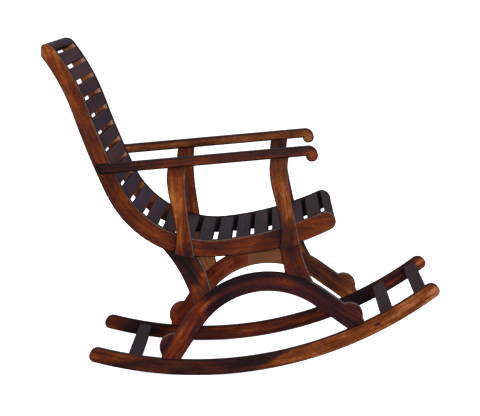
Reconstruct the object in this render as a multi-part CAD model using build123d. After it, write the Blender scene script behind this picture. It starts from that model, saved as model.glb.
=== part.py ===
"""Slatted wooden rocking chair, in millimetres.

X runs to the front of the chair, Y to the sitter's left and Z up from the floor.
The side frames are drawn in the X-Z plane with X = 0 at the lowest point of the runners.
At the end all pieces are shifted along X, so that the origin is under the middle of the chair.
"""

import math
import os

from build123d import *

# Side frame, common to both sides
FRAME_WIDTH = 550.0  # over the outer faces of the rails
RAIL_STOCK = 31.0  # thickness of the rails, which take the mortises of the slats
BASE_STOCK = 25.0  # thickness of legs, arches and runners
EDGE_BREAK = 2.5  # eased edges of the frame timbers

# Sitting line, from the crest down the back and along the seat to the nose
CREST_X = -406.1
CREST_Z = 957.5
CREST_HEADING = -50.6  # degrees, below level and to the front
HEAD_LENGTH = 214.5
HEAD_TURN = -19.4  # the head of the back leans away from the sitter
BACK_LENGTH = 227.0
BACK_TURN = 5.0
HIP_LENGTH = 360.0
HIP_TURN = 71.4
SEAT_LENGTH = 327.0
SEAT_TURN = 19.7

# Depth of the side rail below the sitting line
CREST_DEPTH = 43.0
HEAD_DEPTH = 47.0
WAIST_DEPTH = 49.5
HIP_DEPTH = 55.0
SEAT_DEPTH = 48.0
KNEE_DEPTH = 58.0
NOSE_DEPTH = 54.0
CREST_LEVEL = 27.4  # level top of the stile, before its upright rear edge
CREST_ROUND = 27.0
CREST_REAR_ROUND = 9.0
CREST_HEEL_ROUND = 7.0
NOSE_ROUND = 27.0
NOSE_HEEL_ROUND = 25.0

# Slats and the bars at both ends of the sitting line
SLAT_COUNT = 20
SLAT_WIDTH = 40.0
SLAT_THICK = 22.0
SLAT_SINK = 1.0  # slats lie this far under the edge of the rail
SLAT_BREAK = 2.0  # eased edges
CREST_BAR = 19.0  # along the sitting line
CREST_BAR_DEPTH = 28.0
NOSE_BAR = 20.0
NOSE_BAR_DEPTH = 28.0
TENON_WIDTH = 26.0
TENON_THICK = 7.0
TENON_LENGTH = 12.0
CREST_TENON_WIDTH = 14.0
NOSE_TENON_WIDTH = 20.0

# Runners and the bars between them
ROCK_RADIUS = 1165.0
RUNNER_DEPTH = 44.0
RUNNER_REAR = -15.4  # degrees about the rocking centre
RUNNER_FRONT = 37.9
RUNNER_TIP_ROUND = 24.0  # upper corner of both ends
RUNNER_SOLE_ROUND = 17.0
BAR_ANGLES = {"rear": -8.9, "middle": 29.6, "front": 35.4}
BAR_THICK = 11.0
BAR_SINK = 6.0  # bars lie this far under the top of the runner

# Arches, with a toe at each end that stands on the runner
ARCH_X = 216.0  # crown
ARCH_RISE = 248.0  # floor to the underside of the crown
ARCH_RADIUS = 230.0  # underside
ARCH_DEPTH = 55.5
REAR_LIMB_SLOPE = 57.5
FRONT_LIMB_SLOPE = 35.2
ARCH_JOINT_X = 149.0
REAR_TOE_RADIUS = 41.5
FRONT_TOE_RADIUS = 38.0
TOE_RISE = 37.0  # centre of the toe above the runner
TOE_INSET = 19.0  # centre of the toe inside the limb's outer edge
TOE_BASE = 0.82  # width on the runner, as a share of the toe's diameter

# Legs, from the underside of the rail to the top of the arch, with their rear and front edge bowed
REAR_LEG_HEAD_X = -38.5
REAR_LEG_HEAD_WIDTH = 101.0
REAR_LEG_FOOT_X = 23.5
REAR_LEG_FOOT_WIDTH = 49.0
REAR_LEG_REAR_BOW = 11.0
REAR_LEG_FRONT_BOW = 4.5
FRONT_LEG_HEAD_X = 275.5
FRONT_LEG_HEAD_WIDTH = 59.0
FRONT_LEG_FOOT_X = 304.0
FRONT_LEG_FOOT_WIDTH = 84.0
FRONT_LEG_REAR_BOW = 1.5
FRONT_LEG_FRONT_BOW = -6.0

# Arms, with a rolled knob in front
ARM_HEIGHT = 614.3  # underside, above the lowest point of the runners
ARM_SLOPE = 5.2
ARM_THICK = 27.0
ARM_WIDTH = 44.0
ARM_TIP = 355.0
ARM_INSET = 10.0  # rear end, inside the back of the stile
ARM_BREAK = 4.0  # eased edges
ARM_HEEL_ROUND = 14.0  # outer corner of the rear end
KNOB_RADIUS = 17.5

# Arm posts, on the outer face of the rail
POST_THICK = 28.0
REAR_POST_HEAD_X = -47.0
REAR_POST_FOOT_X = -27.0
FRONT_POST_HEAD_X = 246.0
FRONT_POST_FOOT_X = 274.5
POST_HEAD_WIDTH = 52.0
POST_WAIST_WIDTH = 43.5
POST_FOOT_WIDTH = 59.0
POST_SHOULDER_AT = 0.85  # height of the shoulder, as a share of the post
POST_SHOULDER_BACK = 2.8  # shoulder behind the head
POST_WAIST_AT = 0.52
POST_WAIST_LEAN = 0.65  # share of the lean that lies under the waist

# Loose tenons between the timbers of a frame, and across the laps of posts and arms on the rail
LOOSE_WIDTH = 28.0
LAP_WIDTH = 18.0
LOOSE_THICK = 9.0
LOOSE_BITE = 14.0  # into each timber
LAP_DEPTH = 25.0  # below the sitting line

# Fits
SLIP = 0.15  # around tenons
GLUE_ROOM = 0.8  # beyond the end of tenons
CUT = 30.0  # how far cutting shapes run past the timber they shape

HALF = FRAME_WIDTH / 2
RAIL_INNER = HALF - RAIL_STOCK
BASE_INNER = HALF - BASE_STOCK
BASE_MIDDLE = HALF - BASE_STOCK / 2
POST_MIDDLE = HALF + POST_THICK / 2
RUNNER_TOP = ROCK_RADIUS - RUNNER_DEPTH
ROCK_CENTRE = Vector(0, ROCK_RADIUS)
STRETCHES = (
    (HEAD_LENGTH, HEAD_TURN),
    (BACK_LENGTH, BACK_TURN),
    (HIP_LENGTH, HIP_TURN),
    (SEAT_LENGTH, SEAT_TURN),
)
SIT_LENGTH = sum(length for length, _ in STRETCHES)
WAIST_AT = HEAD_LENGTH + BACK_LENGTH
HIP_END = WAIST_AT + HIP_LENGTH
DEPTHS = (
    (0.0, CREST_DEPTH),
    (HEAD_LENGTH, HEAD_DEPTH),
    (WAIST_AT, WAIST_DEPTH),
    (WAIST_AT + HIP_LENGTH / 2, HIP_DEPTH),
    (HIP_END, SEAT_DEPTH),
    (HIP_END + SEAT_LENGTH * 0.6, KNEE_DEPTH),
    (SIT_LENGTH, NOSE_DEPTH),
)

LEGS = {
    "rear": {
        "head": (REAR_LEG_HEAD_X, REAR_LEG_HEAD_WIDTH),
        "foot": (REAR_LEG_FOOT_X, REAR_LEG_FOOT_WIDTH),
        "bows": (REAR_LEG_REAR_BOW, REAR_LEG_FRONT_BOW),
    },
    "front": {
        "head": (FRONT_LEG_HEAD_X, FRONT_LEG_HEAD_WIDTH),
        "foot": (FRONT_LEG_FOOT_X, FRONT_LEG_FOOT_WIDTH),
        "bows": (FRONT_LEG_REAR_BOW, FRONT_LEG_FRONT_BOW),
    },
}
POSTS = {
    "rear": (REAR_POST_HEAD_X, REAR_POST_FOOT_X),
    "front": (FRONT_POST_HEAD_X, FRONT_POST_FOOT_X),
}
LIMBS = {"rear": (REAR_LIMB_SLOPE, -1), "front": (FRONT_LIMB_SLOPE, 1)}
TOES = {"rear": REAR_TOE_RADIUS, "front": FRONT_TOE_RADIUS}


def heading_vector(degrees):
    """Unit vector in the side plane at this angle above level."""
    return Vector(math.cos(math.radians(degrees)), math.sin(math.radians(degrees)))


def sitting(s):
    """Point and heading of the sitting line, s along it from the crest."""
    point = Vector(CREST_X, CREST_Z)
    heading = CREST_HEADING
    for number, (length, turn) in enumerate(STRETCHES):
        last = number == len(STRETCHES) - 1
        run = s if last else min(s, length)
        swing = turn * run / length
        half = math.radians(swing / 2)
        chord = run * (math.sin(half) / half if half else 1.0)
        point += heading_vector(heading + swing / 2) * chord
        heading += swing
        s -= run
        if s <= 0:
            break
    return point, heading


def below(s, depth):
    """Point of the rail at this depth under the sitting line."""
    point, heading = sitting(s)
    return point + heading_vector(heading - 90) * depth


def rail_depth(s):
    """Depth of the rail at s, from one named station to the next."""
    for (s0, d0), (s1, d1) in zip(DEPTHS, DEPTHS[1:]):
        if s <= s1:
            return d0 + (d1 - d0) * (s - s0) / (s1 - s0)
    return NOSE_DEPTH


def underside(s):
    """Point of the rail's rear and lower edge."""
    return below(s, rail_depth(s))


def solve(function, low, high):
    """Where a rising function is zero between low and high."""
    for _ in range(50):
        middle = (low + high) / 2
        low, high = (low, middle) if function(middle) > 0 else (middle, high)
    return (low + high) / 2


def under_rail(x):
    """Point of the seat rail's lower edge at this x."""
    return underside(solve(lambda s: underside(s).X - x, WAIST_AT, SIT_LENGTH))


def on_runner(degrees, height=0.0):
    """Point above the top of the runner, at an angle about the rocking centre."""
    return ROCK_CENTRE + heading_vector(degrees - 90) * (RUNNER_TOP - height)


def plate(face, thick, outer=HALF):
    """Face of the side plane as a timber of the right side, its outer face this far from the middle."""
    return extrude(Plane.XZ.offset(outer - thick) * face, amount=thick)


def across(point, degrees=0.0):
    """Place for a piece that lies across the chair at a point of the side plane."""
    return Location((point.X, 0, point.Y), (0, -degrees, 0))


def eased(timber, size=EDGE_BREAK):
    """Timber with the edges around both of its side faces taken off."""
    return chamfer(timber.faces().filter_by(Axis.Y).edges(), size)


def loose_tenon(spot, width=LOOSE_WIDTH):
    """Loose tenon across a joint, its length along the Z of the spot, and the mortise it needs."""
    tenon = Box(width, LOOSE_THICK, 2 * LOOSE_BITE)
    mortise = Box(width + 2 * SLIP, LOOSE_THICK + 2 * SLIP, 2 * (LOOSE_BITE + GLUE_ROOM))
    return spot * tenon, spot * mortise


def in_timber(point, along, middle=BASE_MIDDLE):
    """Place in the middle of a timber's thickness, on a joint that runs along this angle."""
    return Location((point.X, -middle, point.Y), (0, -along, 0))


def in_lap(point, along):
    """Place on the rail's outer face, turned so that a tenon runs across the chair."""
    return in_timber(point, along, HALF) * Rot(90, 0, 0)


def in_butt(rear, front):
    """Place in a leg at the middle of its joint, which runs from rear to front."""
    slope = math.degrees(math.atan2(front.Y - rear.Y, front.X - rear.X))
    return in_timber((rear + front) / 2, slope)


def round_corners(timber, corners, middle):
    """Timber with the edges at these corners rounded, each to its own radius."""
    for corner, radius in corners:
        spot = Vector(corner.X, -middle, corner.Y)
        edge = timber.edges().sort_by(lambda item: (item @ 0.5 - spot).length)[0]
        timber = fillet(edge, radius)
    return timber


def crest_corners():
    """Ends of the stile's level top and the lower end of its upright rear edge."""
    front = sitting(0.0)[0]
    rear = front - Vector(CREST_LEVEL, 0)
    heel = solve(lambda s: underside(s).X - rear.X, -CUT, HEAD_LENGTH)
    return front, rear, heel


def rail_face():
    """Outline of the rail with sharp corners: sitting line, nose, underside and crest."""
    edges = []
    start = 0.0
    for length, _ in STRETCHES:
        stops = [sitting(start + length * share)[0] for share in (0.0, 0.5, 1.0)]
        edges.append(ThreePointArc(*stops))
        start += length
    front, rear, heel = crest_corners()
    steps = 14
    lower = [underside(heel + (SIT_LENGTH - heel) * step / steps) for step in range(steps + 1)]
    edges.append(Line(sitting(SIT_LENGTH)[0], lower[-1]))
    edges.append(Spline(*reversed(lower)))
    edges.append(Polyline(lower[0], rear, front))
    return make_face(edges)


def rail_blank(thick, outer):
    """Rail with its rounded ends, as a body of this thickness."""
    crest_front, crest_rear, heel = crest_corners()
    corners = (
        (crest_front, CREST_ROUND),
        (crest_rear, CREST_REAR_ROUND),
        (underside(heel), CREST_HEEL_ROUND),
        (sitting(SIT_LENGTH)[0], NOSE_ROUND),
        (underside(SIT_LENGTH), NOSE_HEEL_ROUND),
    )
    return round_corners(plate(rail_face(), thick, outer), corners, outer - thick / 2)


def stub_tenons(width, inner):
    """Tenons at both ends of a bar between two timbers, in one, and the mortises that they need."""
    length = 2 * (inner + TENON_LENGTH)
    mortises = Box(width + 2 * SLIP, length + 2 * GLUE_ROOM, TENON_THICK + 2 * SLIP)
    return Box(width, length, TENON_THICK), mortises


def cross_bar(spot, thick, inner):
    """Bar with eased edges and tenons, and the mortises it needs, at a place of the side plane."""
    body = Box(SLAT_WIDTH, 2 * inner, thick)
    tenons, mortises = stub_tenons(TENON_WIDTH, inner)
    bar = chamfer(body.edges().filter_by(Axis.Y), SLAT_BREAK) + tenons
    return spot * bar, spot * mortises


def end_bar(start, side, depth, tenon_spot, tenon_width):
    """Bar that fills the end of the rails to this depth, from start on, side -1 crest and +1 nose."""
    strip = Pos(side * CUT, 0, 0) * Box(2 * CUT, 2 * RAIL_INNER, depth)
    strip = across(below(start, depth / 2), sitting(start)[1]) * strip
    tenons, mortises = stub_tenons(tenon_width, RAIL_INNER)
    bar = (rail_blank(2 * RAIL_INNER, RAIL_INNER) & strip) + tenon_spot * tenons
    return bar, tenon_spot * mortises


def limb(slope, side):
    """End of the crown arc, direction of the limb and its outward normal, side -1 rear and +1 front."""
    normal = Vector(side * math.sin(math.radians(slope)), math.cos(math.radians(slope)))
    down = Vector(side * math.cos(math.radians(slope)), -math.sin(math.radians(slope)))
    centre = Vector(ARCH_X, ARCH_RISE - ARCH_RADIUS)
    return centre + normal * ARCH_RADIUS, down, normal


def toe_angle(slope, side):
    """Where the toe of a limb stands, as an angle about the rocking centre."""
    start, down, normal = limb(slope, side)
    line = start + normal * (ARCH_DEPTH - TOE_INSET)
    reach = RUNNER_TOP - TOE_RISE
    run = solve(lambda t: (line + down * t - ROCK_CENTRE).length - reach, 0.0, ARCH_RADIUS * 2)
    offset = line + down * run - ROCK_CENTRE
    return math.degrees(math.atan2(offset.Y, offset.X)) + 90


def arch_face():
    """Whole arch: crown, two limbs, and a toe on each end cut to the runner."""
    crown = Vector(ARCH_X, ARCH_RISE)
    top = crown + Vector(0, ARCH_DEPTH)
    rear, rear_down, rear_out = limb(*LIMBS["rear"])
    front, front_down, front_out = limb(*LIMBS["front"])
    toes = {end: on_runner(toe_angle(*LIMBS[end]), TOE_RISE) for end in TOES}
    run = ARCH_RADIUS * 1.2
    inner = [rear + rear_down * run, rear, front, front + front_down * run]
    outer = [rear + rear_out * ARCH_DEPTH, front + front_out * ARCH_DEPTH]
    outer = [toes["rear"] + rear_out * TOE_INSET, *outer, toes["front"] + front_out * TOE_INSET]
    edge = [
        Line(inner[0], inner[1]),
        ThreePointArc(inner[1], crown, inner[2]),
        Line(inner[2], inner[3]),
    ]
    opening = make_face([*edge, Line(inner[3], inner[0])])
    face = make_face(
        [
            *edge,
            Line(inner[3], outer[3]),
            Line(outer[3], outer[2]),
            ThreePointArc(outer[2], top, outer[1]),
            Line(outer[1], outer[0]),
            Line(outer[0], inner[0]),
        ]
    )
    for end, radius in TOES.items():
        toe = Circle(radius) + Pos(0, -TOE_RISE) * Rectangle(2 * radius * TOE_BASE, 2 * TOE_RISE)
        face += Pos(toes[end].X, toes[end].Y) * Rot(0, 0, toe_angle(*LIMBS[end])) * toe
    return (face - opening) & Pos(ROCK_CENTRE.X, ROCK_CENTRE.Y) * Circle(RUNNER_TOP)


def arch_top(x):
    """Point of the arch's upper edge at this x."""
    for slope, side in LIMBS.values():
        start, down, out = limb(slope, side)
        corner = start + out * ARCH_DEPTH
        if side * (x - corner.X) > 0:
            return corner + down * ((x - corner.X) / down.X)
    rise = math.sqrt((ARCH_RADIUS + ARCH_DEPTH) ** 2 - (x - ARCH_X) ** 2)
    return Vector(x, ARCH_RISE - ARCH_RADIUS + rise)


def bowed(start, end, bow):
    """Edge from start down to end that bows to the front by this much."""
    across_edge = (end - start).normalized()
    front = Vector(-across_edge.Y, across_edge.X)
    return ThreePointArc(start, (start + end) / 2 + front * bow, end)


def edges_of(middle, width):
    """Rear and front edge of a timber from its middle and width."""
    return middle - width / 2, middle + width / 2


def leg(head, foot, bows):
    """Leg with bowed edges, coped to the rail above and the arch below."""
    up = Vector(0, CUT)
    tops = [under_rail(x) for x in edges_of(*head)]
    feet = [arch_top(x) for x in edges_of(*foot)]
    sides = [bowed(*ends) for ends in zip(tops, feet, bows)]
    face = make_face(
        [
            *sides,
            Polyline(feet[0], feet[0] - up, feet[1] - up, feet[1]),
            Polyline(tops[1], tops[1] + up, tops[0] + up, tops[0]),
        ]
    )
    blank = plate(face - rail_face() - arch_face(), BASE_STOCK)
    middles = [side @ 0.5 for side in sides]
    spots = [Vector(point.X, -depth, point.Y) for point in middles for depth in (BASE_INNER, HALF)]
    return chamfer([blank.edges().sort_by_distance(spot)[0] for spot in spots], EDGE_BREAK)


def arm_line(x, height=0.0):
    """Point of the arm at this x, a height above its underside."""
    return Vector(x, ARM_HEIGHT + math.tan(math.radians(ARM_SLOPE)) * x + height)


def stile_at(height, depth):
    """Where the stile, this deep under the sitting line, meets the arm at a height above its underside."""

    def above(s):
        point = below(s, depth)
        return arm_line(point.X, height).Y - point.Y

    return solve(above, 0.0, WAIST_AT)


def arm():
    """Arm of the right side, its rear end flush with the back of the stile."""
    along = heading_vector(ARM_SLOPE)
    up = heading_vector(ARM_SLOPE + 90)
    rise = ARM_THICK / math.cos(math.radians(ARM_SLOPE))
    rear_depth = WAIST_DEPTH - ARM_INSET
    ends = [below(stile_at(height, rear_depth), rear_depth) for height in (0.0, rise)]
    tip = arm_line(ARM_TIP)
    quarter = tip - along * ARM_THICK
    crown = quarter + up * ARM_THICK
    shoulder = quarter + heading_vector(ARM_SLOPE + 45) * ARM_THICK
    knob = tip - along * KNOB_RADIUS
    notch = knob - along * KNOB_RADIUS
    face = make_face(
        [
            Line(ends[0], ends[1]),
            Line(ends[1], crown),
            ThreePointArc(crown, shoulder, tip),
            ThreePointArc(tip, knob - up * KNOB_RADIUS, notch),
            Line(notch, ends[0]),
        ]
    )
    outer = HALF + ARM_WIDTH
    rear = (ends[0] + ends[1]) / 2
    blank = round_corners(plate(face, ARM_WIDTH, outer), [(rear, ARM_HEEL_ROUND)], outer)
    rims = blank.faces().filter_by(Axis.Y).edges().sort_by(Axis.X)
    return chamfer(rims[2:], ARM_BREAK)


def post(head_x, foot_x):
    """Waisted post from the underside of the rail to the arm, on the rail's outer face."""
    waist_x = foot_x + (head_x - foot_x) * POST_WAIST_LEAN
    sides = []
    for side in (-1, 1):
        head = arm_line(head_x + side * POST_HEAD_WIDTH / 2)
        foot = under_rail(foot_x + side * POST_FOOT_WIDTH / 2)
        rise = Vector(0, head.Y - foot.Y)
        shoulder = head - Vector(POST_SHOULDER_BACK, 0) - rise * (1 - POST_SHOULDER_AT)
        waist = Vector(waist_x + side * POST_WAIST_WIDTH / 2, foot.Y) + rise * POST_WAIST_AT
        sides.append(Spline(foot, waist, shoulder, head))
    rear, front = sides
    face = make_face([rear, Line(rear @ 1, front @ 1), front, Line(front @ 0, rear @ 0)])
    blank = plate(face, POST_THICK, HALF + POST_THICK)
    return chamfer(blank.edges().filter_by(GeomType.BSPLINE), EDGE_BREAK)


def runner():
    """Runner of the right side, one arc with rounded ends."""
    middle = (RUNNER_REAR + RUNNER_FRONT) / 2
    tops = [on_runner(angle) for angle in (RUNNER_REAR, middle, RUNNER_FRONT)]
    soles = [on_runner(angle, -RUNNER_DEPTH) for angle in (RUNNER_REAR, middle, RUNNER_FRONT)]
    face = make_face(
        [
            ThreePointArc(*tops),
            Line(tops[2], soles[2]),
            ThreePointArc(*reversed(soles)),
            Line(soles[0], tops[0]),
        ]
    )
    blank = plate(face, BASE_STOCK)
    corners = ((tops[0], RUNNER_TIP_ROUND), (tops[2], RUNNER_TIP_ROUND))
    corners += ((soles[0], RUNNER_SOLE_ROUND), (soles[2], RUNNER_SOLE_ROUND))
    return eased(round_corners(blank, corners, BASE_MIDDLE))


# Slats, end bars and runner bars, with the mortises they need in rails and runners
pieces = {}
rail_cuts = []
runner_cuts = []

crest_spot = across(below(CREST_BAR * 0.25, CREST_BAR_DEPTH * 0.55), CREST_HEADING)
pieces["crest_bar"], cut = end_bar(CREST_BAR, -1, CREST_BAR_DEPTH, crest_spot, CREST_TENON_WIDTH)
rail_cuts.append(cut)

nose_start = SIT_LENGTH - NOSE_BAR
nose_spot = across(below(nose_start + NOSE_BAR * 0.4, NOSE_BAR_DEPTH * 0.62), sitting(SIT_LENGTH)[1] + 90)
pieces["nose_bar"], cut = end_bar(nose_start, 1, NOSE_BAR_DEPTH, nose_spot, NOSE_TENON_WIDTH)
rail_cuts.append(cut)

slat_pitch = (nose_start - CREST_BAR + SLAT_WIDTH) / (SLAT_COUNT + 1)
for number in range(1, SLAT_COUNT + 1):
    at = CREST_BAR - SLAT_WIDTH / 2 + slat_pitch * number
    spot = across(below(at, SLAT_SINK + SLAT_THICK / 2), sitting(at)[1])
    pieces[f"slat_{number:02d}"], cut = cross_bar(spot, SLAT_THICK, RAIL_INNER)
    rail_cuts.append(cut)

for name, angle in BAR_ANGLES.items():
    spot = across(on_runner(angle, -BAR_SINK - BAR_THICK / 2), angle)
    pieces[f"runner_bar_{name}"], cut = cross_bar(spot, BAR_THICK, BASE_INNER)
    runner_cuts.append(cut)

# Timbers of the right side
side = {"rail": eased(rail_blank(RAIL_STOCK, HALF)), "runner": runner(), "arm": arm()}
for end in ("rear", "front"):
    side[f"leg_{end}"] = leg(**LEGS[end])
    side[f"post_{end}"] = post(*POSTS[end])
arch = eased(plate(arch_face(), BASE_STOCK))
reach = 2 * FRAME_WIDTH
behind_joint = Pos(ARCH_JOINT_X - reach / 2, 0, 0) * Box(reach, reach, reach)
side["arch_rear"] = arch & behind_joint
side["arch_front"] = arch - behind_joint

# Joints of the right side: node of the tenons, the two timbers, and the tenon with its mortise
joints = []
for end in ("rear", "front"):
    rail_joint = in_butt(*[under_rail(x) for x in edges_of(*LEGS[end]["head"])])
    arch_joint = in_butt(*[arch_top(x) for x in edges_of(*LEGS[end]["foot"])])
    joints.append(("leg_head_tenons", ("rail", f"leg_{end}"), loose_tenon(rail_joint)))
    joints.append(("leg_foot_tenons", (f"arch_{end}", f"leg_{end}"), loose_tenon(arch_joint)))

    angle = toe_angle(*LIMBS[end])
    toe_joint = in_timber(on_runner(angle), angle)
    joints.append(("toe_tenons", (f"arch_{end}", "runner"), loose_tenon(toe_joint)))

    head_x, foot_x = POSTS[end]
    arm_joint = in_timber(arm_line(head_x), ARM_SLOPE, POST_MIDDLE)
    joints.append(("arm_tenons", ("arm", f"post_{end}"), loose_tenon(arm_joint)))
    at = solve(lambda s: underside(s).X - foot_x, WAIST_AT, SIT_LENGTH)
    post_joint = in_lap(below(at, LAP_DEPTH), sitting(at)[1])
    joints.append(("post_tenons", ("rail", f"post_{end}"), loose_tenon(post_joint, LAP_WIDTH)))

arch_middle = arch_top(ARCH_JOINT_X) - Vector(0, ARCH_DEPTH / 2)
joints.append(("arch_tenons", ("arch_rear", "arch_front"), loose_tenon(in_timber(arch_middle, 90))))
stile_point = below(stile_at(ARM_THICK / 2, LAP_DEPTH), LAP_DEPTH)
stile_joint = in_lap(stile_point, ARM_SLOPE)
joints.append(("stile_tenons", ("rail", "arm"), loose_tenon(stile_joint, LAP_WIDTH)))

side["rail"] -= rail_cuts
side["runner"] -= runner_cuts
groups = {}
for group, timbers, (tenon, mortise) in joints:
    groups.setdefault(group, []).append(tenon)
    for timber in timbers:
        side[timber] -= mortise

# Both sides, with the origin moved under the middle of the chair
rear_end = side["rail"].bounding_box().min.X
front_end = side["runner"].bounding_box().max.X
shift = Pos(-(rear_end + front_end) / 2, 0, 0)
for name, timber in side.items():
    pieces[f"{name}_right"] = timber
    pieces[f"{name}_left"] = mirror(timber, about=Plane.XZ)
for name, tenon_list in groups.items():
    pieces[name] = Compound(children=[*tenon_list, *[mirror(item, about=Plane.XZ) for item in tenon_list]])

os.makedirs("parts", exist_ok=True)
for name, piece in pieces.items():
    export_step(shift * piece, f"parts/{name}.step")
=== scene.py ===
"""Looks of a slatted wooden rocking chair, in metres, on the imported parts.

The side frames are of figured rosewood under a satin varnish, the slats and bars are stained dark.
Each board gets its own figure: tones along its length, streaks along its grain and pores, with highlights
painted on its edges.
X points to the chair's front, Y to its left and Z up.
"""

import math

import bpy
from mathutils import Euler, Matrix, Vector

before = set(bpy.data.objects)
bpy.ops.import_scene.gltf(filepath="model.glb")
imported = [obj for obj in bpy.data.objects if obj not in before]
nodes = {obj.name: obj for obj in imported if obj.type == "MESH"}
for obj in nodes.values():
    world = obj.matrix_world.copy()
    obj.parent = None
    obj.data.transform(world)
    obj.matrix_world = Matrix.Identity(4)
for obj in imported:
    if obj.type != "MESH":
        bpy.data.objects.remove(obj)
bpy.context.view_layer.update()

# Noise: how far apart its seeds lie, its usual range, and the range of two noises added together
SEED_SPACING = 7.31
NOISE_RANGE = (0.3, 0.7)
NOISE_SUM = (-1.2, 1.2)


class Field:
    """A number or colour that varies over a surface: the output of a shader node, with arithmetic."""

    def __init__(self, tree, socket):
        self.tree = tree
        self.socket = socket

    def math(self, operation, *others):
        """Result of a math node on this field and other fields or numbers."""
        node = self.tree.nodes.new("ShaderNodeMath")
        node.operation = operation
        for slot, value in zip(node.inputs, (self, *others)):
            feed(slot, value)
        return Field(self.tree, node.outputs[0])

    def __add__(self, other):
        return self.math("ADD", other)

    def __sub__(self, other):
        return self.math("SUBTRACT", other)

    def __mul__(self, other):
        return self.math("MULTIPLY", other)

    def spread(self, low, high, bottom=-1.0, top=1.0, curve="LINEAR"):
        """Goes from bottom to top while the field goes from low to high, evenly unless a curve is given."""
        node = self.tree.nodes.new("ShaderNodeMapRange")
        node.interpolation_type = curve
        for slot, value in zip(node.inputs, (self, low, high, bottom, top)):
            feed(slot, value)
        return Field(self.tree, node.outputs[0])

    def step(self, low, high, bottom=0.0, top=1.0):
        """Goes smoothly from bottom to top while the field goes from low to high."""
        return self.spread(low, high, bottom, top, curve="SMOOTHSTEP")


def feed(slot, value):
    """Sets an input to a number or colour, or links a field to it."""
    if isinstance(value, Field):
        value.tree.links.new(value.socket, slot)
    else:
        slot.default_value = value


def components(tree, socket):
    """X, Y and Z of a vector."""
    parts = tree.nodes.new("ShaderNodeSeparateXYZ")
    tree.links.new(socket, parts.inputs[0])
    return [Field(tree, output) for output in parts.outputs]


def position(tree):
    """X, Y and Z of the surface in the frame of the chair."""
    place = tree.nodes.new("ShaderNodeTexCoord")
    return components(tree, place.outputs["Object"])


def noise(coordinates, scales, seed, detail=3.0, roughness=0.55):
    """Noise from -1 to 1, with a scale for each coordinate."""
    tree = coordinates[0].tree
    joined = tree.nodes.new("ShaderNodeCombineXYZ")
    for slot, field, scale in zip(joined.inputs, coordinates, scales):
        feed(slot, field * scale)
    node = tree.nodes.new("ShaderNodeTexNoise")
    node.noise_dimensions = "4D"
    tree.links.new(joined.outputs[0], node.inputs["Vector"])
    node.inputs["W"].default_value = seed * SEED_SPACING
    node.inputs["Scale"].default_value = 1.0
    node.inputs["Detail"].default_value = detail
    node.inputs["Roughness"].default_value = roughness
    return Field(tree, node.outputs["Fac"]).spread(*NOISE_RANGE)


def ramp(field, stops, smooth=False):
    """Colour ramp over a field, from (place, colour) stops."""
    node = field.tree.nodes.new("ShaderNodeValToRGB")
    node.color_ramp.interpolation = "EASE" if smooth else "LINEAR"
    elements = node.color_ramp.elements
    while len(elements) < len(stops):
        elements.new(0.5)
    for element, (place, colour) in zip(elements, stops):
        element.position = place
        element.color = (*colour, 1.0)
    feed(node.inputs[0], field)
    return Field(field.tree, node.outputs["Color"])


def blend(amount, under, over):
    """Colour that goes from one to another while a field goes from 0 to 1."""
    node = amount.tree.nodes.new("ShaderNodeMix")
    node.data_type = "RGBA"
    factor, first, second = node.inputs[0], node.inputs[6], node.inputs[7]
    for slot, value in ((factor, amount), (first, under), (second, over)):
        feed(slot, value)
    return Field(amount.tree, node.outputs[2])


# Grain: places along it, across it in the side plane, and through the board
def straight_grain(degrees):
    """Grain of a straight board that lies at this angle above level in the side plane."""
    c = math.cos(math.radians(degrees))
    s = math.sin(math.radians(degrees))

    def grain(x, y, z):
        return x * c + z * s, z * c - x * s, y

    return grain


def bent_grain(centre_x, centre_z, radius, start, end):
    """Grain that follows an arc from start to end degrees about a centre, and runs straight on from both."""
    middle = math.radians((start + end) / 2)
    half = math.radians(end - start) / 2
    c = math.cos(middle)
    s = math.sin(middle)

    def grain(x, y, z):
        dx = x - centre_x
        dz = z - centre_z
        out = dx * c + dz * s
        side = dz * c - dx * s
        angle = side.math("ARCTAN2", out).math("MAXIMUM", -half).math("MINIMUM", half)
        cosine = angle.math("COSINE")
        sine = angle.math("SINE")
        along = angle * radius + side * cosine - out * sine
        return along, out * cosine + side * sine - radius, y

    return grain


RAIL_GRAIN = bent_grain(centre_x=-0.0895, centre_z=0.6842, radius=0.289, start=-155.0, end=-83.6)
STILE_GRAIN = bent_grain(centre_x=-1.0331, centre_z=0.5554, radius=0.6335, start=21.5, end=39.4)
RUNNER_GRAIN = bent_grain(centre_x=-0.1375, centre_z=1.165, radius=1.143, start=-105.4, end=-52.1)
ARCH_GRAIN = bent_grain(centre_x=0.0785, centre_z=0.018, radius=0.2578, start=54.8, end=147.5)
ARM_GRAIN = straight_grain(5.2)
POST_GRAIN = straight_grain(96.0)
REAR_LEG_GRAIN = straight_grain(-57.0)
FRONT_LEG_GRAIN = straight_grain(-70.0)


# Where kinds of face begin and are full: by the sideways part of the normal, and by where it looks, which
# picks the edges that get a painted highlight
NARROW_FACES = (0.97, 0.7)
OFF_WIDE_FACES = (0.99, 0.93)
OFF_NARROW_FACES = (0.2, 0.45)
UP_OR_FRONT = (0.0, 0.3)
FRONT_SHARE = 0.6

# Where the edge mask begins and is full, by the cosine between the rounded and the true normal
EDGE_COSINE = (0.99, 0.80)


def surface(name):
    """New material: its node tree and its shader."""
    material = bpy.data.materials.new(name)
    material.use_nodes = True
    tree = material.node_tree
    shader = tree.nodes["Principled BSDF"]
    return material, tree, shader


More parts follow.
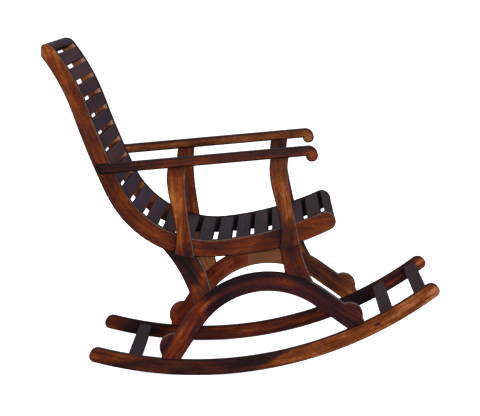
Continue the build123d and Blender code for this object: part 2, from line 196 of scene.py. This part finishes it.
def edge_mask(tree, radius):
    """One on edges and zero on flat faces, from how far a rounded normal leaves the true one."""
    bevel = tree.nodes.new("ShaderNodeBevel")
    bevel.samples = 6
    bevel.inputs["Radius"].default_value = radius
    true = tree.nodes.new("ShaderNodeNewGeometry")
    dot = tree.nodes.new("ShaderNodeVectorMath")
    dot.operation = "DOT_PRODUCT"
    tree.links.new(bevel.outputs[0], dot.inputs[0])
    tree.links.new(true.outputs["Normal"], dot.inputs[1])
    return Field(tree, dot.outputs["Value"]).step(*EDGE_COSINE)


def face_kinds(tree):
    """Two fields of a frame timber: its narrow faces, and its rounded edges facing up or front, which get
    painted highlights.
    """
    geometry = tree.nodes.new("ShaderNodeNewGeometry")
    x, y, z = components(tree, geometry.outputs["Normal"])
    across = y.math("ABSOLUTE")
    narrow = across.step(*NARROW_FACES)
    lit = (x * FRONT_SHARE + z).step(*UP_OR_FRONT)
    rounded = across.step(*OFF_WIDE_FACES) * across.step(*OFF_NARROW_FACES) * lit
    return narrow, rounded


def bump(tree, shader, height, distance, strength):
    """Relief on the shader from a height field."""
    node = tree.nodes.new("ShaderNodeBump")
    node.inputs["Strength"].default_value = strength
    node.inputs["Distance"].default_value = distance
    feed(node.inputs["Height"], height)
    tree.links.new(node.outputs["Normal"], shader.inputs["Normal"])


def varnish(shader, weight, roughness):
    """Clear coat over the timber."""
    shader.inputs["Coat Weight"].default_value = weight
    shader.inputs["Coat Roughness"].default_value = roughness
    shader.inputs["Coat IOR"].default_value = 1.5
    shader.inputs["IOR"].default_value = 1.45


# Rosewood: tones from dark heartwood to light sapwood, in reddish and in tan boards
RED_TONES = (
    (0.0, (0.008, 0.0045, 0.005)),
    (0.25, (0.029, 0.0085, 0.0085)),
    (0.5, (0.083, 0.0150, 0.0058)),
    (0.75, (0.185, 0.036, 0.0048)),
    (1.0, (0.40, 0.125, 0.025)),
)
TAN_TONES = (
    (0.0, (0.008, 0.0055, 0.005)),
    (0.25, (0.031, 0.0115, 0.010)),
    (0.5, (0.092, 0.029, 0.0065)),
    (0.75, (0.20, 0.069, 0.015)),
    (1.0, (0.46, 0.21, 0.13)),
)
MIDDLE_TONE = 0.5
CONTRAST = 1.12
# Colour of the light painted on the front strip inside the stiles
STRIP_LIGHT_TONE = (0.36, 0.20, 0.115, 1.0)
# Colour of the highlight painted on the edges that face up or to the front
HIGHLIGHT_TONE = (0.30, 0.21, 0.18, 1.0)

# Scales of the figure per metre: along the grain, across it, and through the board
WAVE_SCALES = (7.0, 14.0, 8.0)
CLOUD_SCALES = (14.0, 34.0, 14.0)
FLAME_SCALES = (3.0, 75.0, 30.0)
THREAD_SCALES = (9.0, 300.0, 160.0)
PORE_SCALES = (30.0, 900.0, 700.0)
FLECK_SCALES = (100.0, 280.0, 150.0)

# How far the grain wanders, and how far flames and clouds shift the tones, in metres
WAVE_SHIFT = 0.004
FLAME_SHIFT = 0.012
CLOUD_SHIFT = 0.008

# How much flecks and threads change the tone, and pores and knots darken it
FLECK_DEPTH = 0.12
THREAD_DEPTH = 0.07
PORE_DEPTH = 0.04
KNOT_DEPTH = 0.6

# Pores and knots: where they begin and are full, and how far clouds make a knot's outline uneven
PORE_NOISE = (0.3, 0.9)
KNOT_REACH = (1.2, 0.2)
KNOT_UNEVEN = 0.2

# Where the pool of light painted on the front strip inside the stiles begins and is full: off the arc, in
# height, and sideways
STRIP_DEEP = (-0.0135, -0.0115)
STRIP_HIGH = (0.50, 0.56)
STRIP_ASIDE = (0.262, 0.258)

# Painted highlights on edges: how far they take to begin, and how flecks break them up
HIGHLIGHT_FADE = 0.02
HIGHLIGHT_FLECKS = 0.4
HIGHLIGHT_MEAN = 0.6

# Finish of the rosewood: least and most roughness, sheen, clear coat and relief
WOOD_ROUGHNESS = (0.34, 0.48)
WOOD_SPECULAR = 0.05
COAT_WEIGHT = 0.04
COAT_ROUGHNESS = 0.1
WOOD_RELIEF = 0.0003
THREAD_RELIEF = 0.4


def mixed_tones(tan):
    """Tones from the reddish (0) to the tan ones (1), under zero with less green and more blue."""
    stops = []
    for (place, red), (_, brown) in zip(RED_TONES, TAN_TONES):
        if tan < 0:
            brown = (red[0], red[1] * 1.5, 0.0)
        stops.append((place, tuple(r + (t - r) * tan for r, t in zip(red, brown))))
    return stops


def lit_strip(x, y, z):
    """One on the front strip of the stiles' inner faces, where light through the gaps between the back slats
    is painted.
    """
    deep = STILE_GRAIN(x, y, z)[1]
    aside = y.math("ABSOLUTE")
    return deep.step(*STRIP_DEEP) * z.step(*STRIP_HIGH) * aside.step(*STRIP_ASIDE)


def knot_spot(along, deep, cloud, place, length, width):
    """One in a knot at a place along the grain, with an uneven outline."""
    off_along = (along - place) * (1 / length)
    off_deep = deep * (1 / width)
    reach = off_along * off_along + off_deep * off_deep + cloud * KNOT_UNEVEN
    return reach.step(*KNOT_REACH)


def rosewood(
    name, grain, seed, tones, slant=0.0, tan=0.0, figure=0.1, streaks=0.1,
    edge=0.62, edge_highlight=0.0, highlight_span=(-1.0, 1.0), knot=None, strip_light=False,
):
    """Varnished rosewood board. Tones are (place along the grain, tone) stops, slant leans them over.

    Figure and streaks are how strong its clouds and flames are, and edge is how much darker its narrow
    faces are. Edge highlight is how bright the highlight painted on its edges is, within the highlight span.
    """
    material, tree, shader = surface(name)
    x, y, z = position(tree)
    along, deep, through = grain(x, y, z)
    wave = noise((along, deep, through), WAVE_SCALES, seed, detail=1.0)
    board = (along, deep + wave * WAVE_SHIFT, through)
    cloud = noise(board, CLOUD_SCALES, seed + 1, detail=2.0)
    flame = noise(board, FLAME_SCALES, seed + 2, roughness=0.6)
    thread = noise(board, THREAD_SCALES, seed + 3)
    pores = noise(board, PORE_SCALES, seed + 4, detail=1.0).step(*PORE_NOISE)
    fleck = noise(board, FLECK_SCALES, seed + 5, roughness=0.65)

    low = tones[0][0]
    span = tones[-1][0] - low
    stops = [((at - low) / span, (tone, tone, tone)) for at, tone in tones]
    place = (along + deep * slant + flame * FLAME_SHIFT + cloud * CLOUD_SHIFT - low) * (1 / span)
    tone = ramp(place, stops, smooth=True) + cloud * figure + flame * streaks
    tone = tone + fleck * FLECK_DEPTH + thread * THREAD_DEPTH - pores * PORE_DEPTH
    tone = (tone - MIDDLE_TONE) * CONTRAST + MIDDLE_TONE
    if knot:
        tone = tone - knot_spot(along, deep, cloud, **knot) * KNOT_DEPTH

    narrow, rounded = face_kinds(tree)
    colour = ramp(tone - tone * narrow * edge, mixed_tones(tan))
    # Painted light: the wide faces on the front strip inside the stiles turn light tan, as if lit through
    # the slat gaps
    if strip_light:
        wide = narrow * -1.0 + 1.0
        colour = blend(lit_strip(x, y, z) * wide, colour, STRIP_LIGHT_TONE)
    # Painted highlight: a light pinkish grey on the rounded edges that face up or to the front, broken up by
    # flecks
    if edge_highlight:
        start, end = highlight_span
        reach = along.step(start, start + HIGHLIGHT_FADE) * along.step(end, end - HIGHLIGHT_FADE)
        colour = blend(rounded * reach * (fleck * HIGHLIGHT_FLECKS + HIGHLIGHT_MEAN) * edge_highlight, colour, HIGHLIGHT_TONE)
    feed(shader.inputs["Base Color"], colour)
    feed(shader.inputs["Roughness"], (cloud + thread).step(*NOISE_SUM, *WOOD_ROUGHNESS))
    shader.inputs["Specular IOR Level"].default_value = WOOD_SPECULAR
    varnish(shader, COAT_WEIGHT, COAT_ROUGHNESS)
    bump(tree, shader, thread * THREAD_RELIEF - pores, WOOD_RELIEF, strength=0.2)
    return material


# Figure of each board: grain, strengths, and tones at places along the grain
BOARDS = {
    "rail_right": dict(
        grain=RAIL_GRAIN, seed=1, figure=0.15, streaks=0.12, slant=0.6, edge=0.85, edge_highlight=0.5, strip_light=True,
        tones=(
            (-0.62, 0.72), (-0.52, 0.68), (-0.45, 0.58), (-0.34, 0.62), (-0.20, 0.56), (-0.05, 0.51),
            (0.12, 0.53), (0.27, 0.58), (0.33, 0.38), (0.46, 0.64),
        ),
    ),
    # Far stile and seat rail: nearly black along the seat, painted shade on the inner face seen between the
    # seat slats
    "rail_left": dict(
        grain=RAIL_GRAIN, seed=11, tan=0.15, figure=0.13, streaks=0.16, edge=0.85, strip_light=True,
        tones=(
            (-0.62, 0.95), (-0.28, 0.9), (-0.10, 0.8), (-0.01, 0.5), (0.05, 0.16), (0.12, 0.06),
            (0.46, 0.06),
        ),
    ),
    "arm_right": dict(
        grain=ARM_GRAIN, seed=21, figure=0.14, streaks=0.22,
        tones=(
            (-0.36, 0.20), (-0.30, 0.24), (-0.20, 0.32), (-0.12, 0.34), (-0.06, 0.47),
            (0.07, 0.48), (0.13, 0.36), (0.20, 0.36), (0.26, 0.60),
        ),
    ),
    "arm_left": dict(
        grain=ARM_GRAIN, seed=31, tan=0.45, figure=0.15, streaks=0.24,
        tones=((-0.36, 0.64), (-0.22, 0.56), (-0.10, 0.55), (0.03, 0.68), (0.24, 0.68)),
    ),
    # Darker at the top: a painted shadow of the arm
    "post_rear_right": dict(
        grain=POST_GRAIN, seed=41, figure=0.13, streaks=0.2, edge_highlight=0.6,
        tones=((0.35, 0.34), (0.43, 0.62), (0.53, 0.75), (0.60, 0.62), (0.64, 0.44)),
    ),
    # Darker at the top: a painted shadow of the arm
    "post_front_right": dict(
        grain=POST_GRAIN, seed=47, tan=0.15, figure=0.13, streaks=0.2, edge_highlight=0.6,
        tones=((0.35, 0.34), (0.42, 0.42), (0.47, 0.66), (0.55, 0.67), (0.61, 0.60), (0.65, 0.34)),
    ),
    "post_rear_left": dict(
        grain=POST_GRAIN, seed=53, figure=0.15, streaks=0.24,
        tones=((0.35, 0.56), (0.5, 0.5), (0.64, 0.54)),
    ),
    "post_front_left": dict(
        grain=POST_GRAIN, seed=59, figure=0.15, streaks=0.22,
        tones=((0.35, 0.5), (0.64, 0.38)),
    ),
    "leg_rear_right": dict(
        grain=REAR_LEG_GRAIN, seed=61, figure=0.12, streaks=0.14, slant=0.3, edge_highlight=0.7,
        tones=(
            (-0.43, 0.24), (-0.36, 0.20), (-0.30, 0.28), (-0.275, 0.58), (-0.25, 0.42), (-0.18, 0.32),
        ),
    ),
    "leg_front_right": dict(
        grain=FRONT_LEG_GRAIN, seed=67, figure=0.12, streaks=0.18, edge_highlight=0.7,
        tones=((-0.34, 0.40), (-0.26, 0.42), (-0.18, 0.30)),
    ),
    # Far legs: tones raised as painted light, against the shade the near frame and seat cast on them
    "leg_rear_left": dict(
        grain=REAR_LEG_GRAIN, seed=71, tan=0.3, figure=0.18, streaks=0.2,
        tones=((-0.43, 1.0), (-0.18, 1.0)),
    ),
    "leg_front_left": dict(
        grain=FRONT_LEG_GRAIN, seed=73, tan=0.2, figure=0.18, streaks=0.2,
        tones=((-0.34, 0.6), (-0.18, 0.7)),
    ),
    "arch_rear_right": dict(
        grain=ARCH_GRAIN, seed=79, tan=-0.2, figure=0.14, streaks=0.22, slant=0.4,
        edge_highlight=0.6, highlight_span=(0.15, 1.0),
        tones=(
            (0.0, 0.30), (0.04, 0.24), (0.10, 0.16), (0.135, 0.28), (0.163, 0.62),
            (0.20, 0.44), (0.26, 0.57), (0.31, 0.48), (0.46, 0.46),
        ),
    ),
    "arch_front_right": dict(
        grain=ARCH_GRAIN, seed=79, tan=-0.2, figure=0.14, streaks=0.22, slant=0.4,
        edge_highlight=0.5, highlight_span=(-1.0, -0.15),
        tones=(
            (-0.40, 0.24), (-0.20, 0.28), (-0.13, 0.32), (-0.085, 0.44), (-0.045, 0.36),
            (0.0, 0.30), (0.04, 0.24),
        ),
    ),
    # Far arches: tones raised, and the rear one reddened, as painted light against the shade of the near
    # frame and seat
    "arch_rear_left": dict(
        grain=ARCH_GRAIN, seed=89, tan=-0.6, figure=0.13, streaks=0.2, edge_highlight=0.3,
        tones=((0.06, 0.80), (0.22, 0.84), (0.34, 0.7), (0.46, 0.7)),
    ),
    "arch_front_left": dict(
        grain=ARCH_GRAIN, seed=97, tan=0.5, figure=0.12, streaks=0.22, edge_highlight=0.3,
        tones=(
            (-0.40, 0.76), (-0.33, 0.62), (-0.27, 0.40), (-0.16, 0.38), (-0.06, 0.94), (0.06, 1.25),
        ),
    ),
    "runner_right": dict(
        grain=RUNNER_GRAIN, seed=101, tan=0.25, figure=0.13, streaks=0.18, slant=3.4,
        knot=dict(place=0.326, length=0.012, width=0.004),
        tones=(
            (-0.54, 0.66), (-0.46, 0.64), (-0.40, 0.34), (-0.12, 0.22), (-0.02, 0.30),
            (0.02, 0.68), (0.20, 0.73), (0.40, 0.71), (0.48, 0.64), (0.54, 0.86),
        ),
    ),
    "runner_left": dict(
        grain=RUNNER_GRAIN, seed=109, tan=-0.1, figure=0.18, streaks=0.26, slant=1.0,
        tones=(
            (-0.54, 0.64), (-0.49, 0.52), (-0.45, 0.18), (-0.37, 0.16), (-0.30, 0.44), (-0.10, 0.47),
            (0.15, 0.44), (0.22, 0.36), (0.28, 0.12), (0.33, 0.14), (0.40, 0.40), (0.47, 0.44),
            (0.53, 0.74),
        ),
    ),
}

# Dark stain: tones as place, red, green and blue, and scales per metre with the grain across the chair
STAIN_TONES = ((0.0, 0.018, 0.0110, 0.018), (0.5, 0.036, 0.0180, 0.026), (1.0, 0.072, 0.033, 0.036))
SLAT_SCALES = (0.2, 11.0, 11.0)
HUE_SCALES = (0.2, 17.0, 17.0)
STAIN_FLAME_SCALES = (3.0, 90.0, 90.0)
STAIN_THREAD_SCALES = (9.0, 420.0, 420.0)

# How much each part of the figure and the painted edge highlight change the stain's tone, how far the slats
# differ in warmth, and how wide the highlight is
SLAT_DEPTH = 0.32
STAIN_FLAME_DEPTH = 0.18
STAIN_THREAD_DEPTH = 0.08
HUE_DEPTH = 0.16
EDGE_GLINT_DEPTH = 0.12
EDGE_GLINT_WIDTH = 0.002

# Finish of the stained timber
STAIN_ROUGHNESS = (0.44, 0.58)
STAIN_SPECULAR = 0.10
STAIN_RELIEF = 0.0002


def stain_tones(light, warm):
    """Tones of the stain, lighter or darker, and from bluish to brownish."""
    stops = []
    for place, red, green, blue in STAIN_TONES:
        stops.append((place, (red * light * (1 + warm), green * light, blue * light * (1 - warm))))
    return stops


def dark_stain(name, seed, light=1.0, warm=0.0):
    """Dark stained timber of the slats and bars."""
    material, tree, shader = surface(name)
    x, y, z = position(tree)
    board = (y, x, z)
    slat = noise(board, SLAT_SCALES, seed, detail=1.0)
    flame = noise(board, STAIN_FLAME_SCALES, seed + 1, roughness=0.6)
    thread = noise(board, STAIN_THREAD_SCALES, seed + 2, detail=2.0)
    # Painted highlight: the stain is made lighter on all its edges
    edge_glint = edge_mask(tree, EDGE_GLINT_WIDTH)
    tone = slat * SLAT_DEPTH + flame * STAIN_FLAME_DEPTH + thread * STAIN_THREAD_DEPTH
    tone = tone + edge_glint * EDGE_GLINT_DEPTH + MIDDLE_TONE
    hue = noise(board, HUE_SCALES, seed + 3, detail=1.0)
    cool = ramp(tone, stain_tones(light, warm - HUE_DEPTH))
    brown = ramp(tone, stain_tones(light, warm + HUE_DEPTH))
    feed(shader.inputs["Base Color"], blend(hue.step(-1.0, 1.0), cool, brown))
    feed(shader.inputs["Roughness"], (flame + thread).step(*NOISE_SUM, *STAIN_ROUGHNESS))
    shader.inputs["Specular IOR Level"].default_value = STAIN_SPECULAR
    bump(tree, shader, thread, STAIN_RELIEF, strength=0.15)
    return material


# Unfinished timber
FIBRE_TONES = ((0.2, (0.30, 0.17, 0.08)), (0.8, (0.46, 0.29, 0.15)))
FIBRE_SCALES = (12.0, 260.0, 260.0)
FIBRE_SEED = 90


def bare_timber(name):
    """Unfinished timber of the hidden tenons."""
    material, tree, shader = surface(name)
    x, y, z = position(tree)
    fibre = noise((y, x, z), FIBRE_SCALES, FIBRE_SEED)
    feed(shader.inputs["Base Color"], ramp(fibre + MIDDLE_TONE, FIBRE_TONES))
    shader.inputs["Roughness"].default_value = 0.75
    return material


FIRST_SEAT_SLAT = "slat_12"


def dress():
    """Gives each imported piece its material."""
    # Two copies of one stain: the seat copy darker, painted shade against the light from above, and the back
    # copy lighter, painted light
    back_wood = dark_stain("back_wood", 121, light=1.3, warm=-0.02)
    seat_wood = dark_stain("seat_wood", 127, light=0.64, warm=-0.1)
    bar_wood = dark_stain("bar_wood", 131, light=0.58)
    tenon_wood = bare_timber("tenon_wood")
    for name, node in nodes.items():
        if name in BOARDS:
            material = rosewood(f"wood_{name}", **BOARDS[name])
        elif name.startswith("slat"):
            material = back_wood if name < FIRST_SEAT_SLAT else seat_wood
        elif name.endswith("_tenons"):
            material = tenon_wood
        else:
            material = bar_wood
        node.data.materials.clear()
        node.data.materials.append(material)
        for polygon in node.data.polygons:
            polygon.material_index = 0


# Floor, light and camera
FLOOR_REACH = 400.0
FLOOR_TONE = (0.9, 0.9, 0.9, 1.0)
FLOOR_GLOW = 0.75
SKY = (
    (0.0, (0.13, 0.125, 0.12)),
    (0.48, (0.10, 0.095, 0.095)),
    (0.56, (0.085, 0.08, 0.09)),
    (0.72, (0.35, 0.35, 0.36)),
    (1.0, (1.1, 1.1, 1.12)),
)
AIM = Vector((0.0, 0.0, 0.5))
LENS = 142.62
SENSOR_WIDTH = 36.0
EYE = (0.0946, -5.6844, 1.1712)
LOOKS_DOWN = math.radians(7.178)
TURNS_LEFT = math.radians(1.051)


def stage_floor():
    """Wide pale floor that only the camera and shadows see."""
    mesh = bpy.data.meshes.new("floor")
    corners = [(x * FLOOR_REACH, y * FLOOR_REACH, 0) for x, y in ((-1, -1), (1, -1), (1, 1), (-1, 1))]
    mesh.from_pydata(corners, [], [(0, 1, 2, 3)])
    floor = bpy.data.objects.new("floor", mesh)
    bpy.context.scene.collection.objects.link(floor)
    material, _, shader = surface("pale_floor")
    shader.inputs["Base Color"].default_value = FLOOR_TONE
    shader.inputs["Emission Color"].default_value = (1.0, 1.0, 1.0, 1.0)
    shader.inputs["Emission Strength"].default_value = FLOOR_GLOW
    shader.inputs["Roughness"].default_value = 1.0
    shader.inputs["Specular IOR Level"].default_value = 0.0
    mesh.materials.append(material)
    floor.visible_diffuse = False
    floor.visible_glossy = False


def soft_sky():
    """World light: bright overhead, dim at the horizon, grey from below."""
    world = bpy.data.worlds.new("studio")
    bpy.context.scene.world = world
    world.use_nodes = True
    tree = world.node_tree
    direction = tree.nodes.new("ShaderNodeTexCoord")
    height = components(tree, direction.outputs["Generated"])[2]
    background = tree.nodes["Background"]
    feed(background.inputs["Color"], ramp(height.spread(-1.0, 1.0, 0.0, 1.0), SKY, smooth=True))
    background.inputs["Strength"].default_value = 1.0


def softbox(name, place, width, height, power, sheen=True):
    """Area light at a place, aimed at the chair, with or without reflections of it."""
    light = bpy.data.lights.new(name, "AREA")
    light.shape = "RECTANGLE"
    light.size = width
    light.size_y = height
    light.energy = power
    lamp = bpy.data.objects.new(name, light)
    lamp.location = place
    lamp.rotation_euler = (AIM - Vector(place)).to_track_quat("-Z", "Y").to_euler()
    lamp.visible_glossy = sheen
    bpy.context.scene.collection.objects.link(lamp)


def photo_camera():
    """Camera of the photograph, almost square to the right side and a little above."""
    camera = bpy.data.cameras.new("camera")
    camera.sensor_width = SENSOR_WIDTH
    camera.sensor_fit = "HORIZONTAL"
    camera.lens = LENS
    camera.clip_end = 1000.0
    eye = bpy.data.objects.new("camera", camera)
    eye.location = EYE
    eye.rotation_euler = Euler((math.radians(90) - LOOKS_DOWN, 0, TURNS_LEFT))
    bpy.context.scene.collection.objects.link(eye)
    bpy.context.scene.camera = eye


dress()
stage_floor()
soft_sky()
softbox("key", place=(1.8, -3.0, 3.2), width=2.0, height=1.6, power=70)
softbox("fill", place=(0.8, -7.6, 1.3), width=3.0, height=1.6, power=300)
softbox("left", place=(-3.6, -0.6, 1.6), width=1.2, height=1.2, power=25)
softbox("rear", place=(-1.8, 4.4, 2.2), width=2.4, height=1.6, power=110, sheen=False)
photo_camera()
bpy.context.scene.view_settings.view_transform = "Standard"
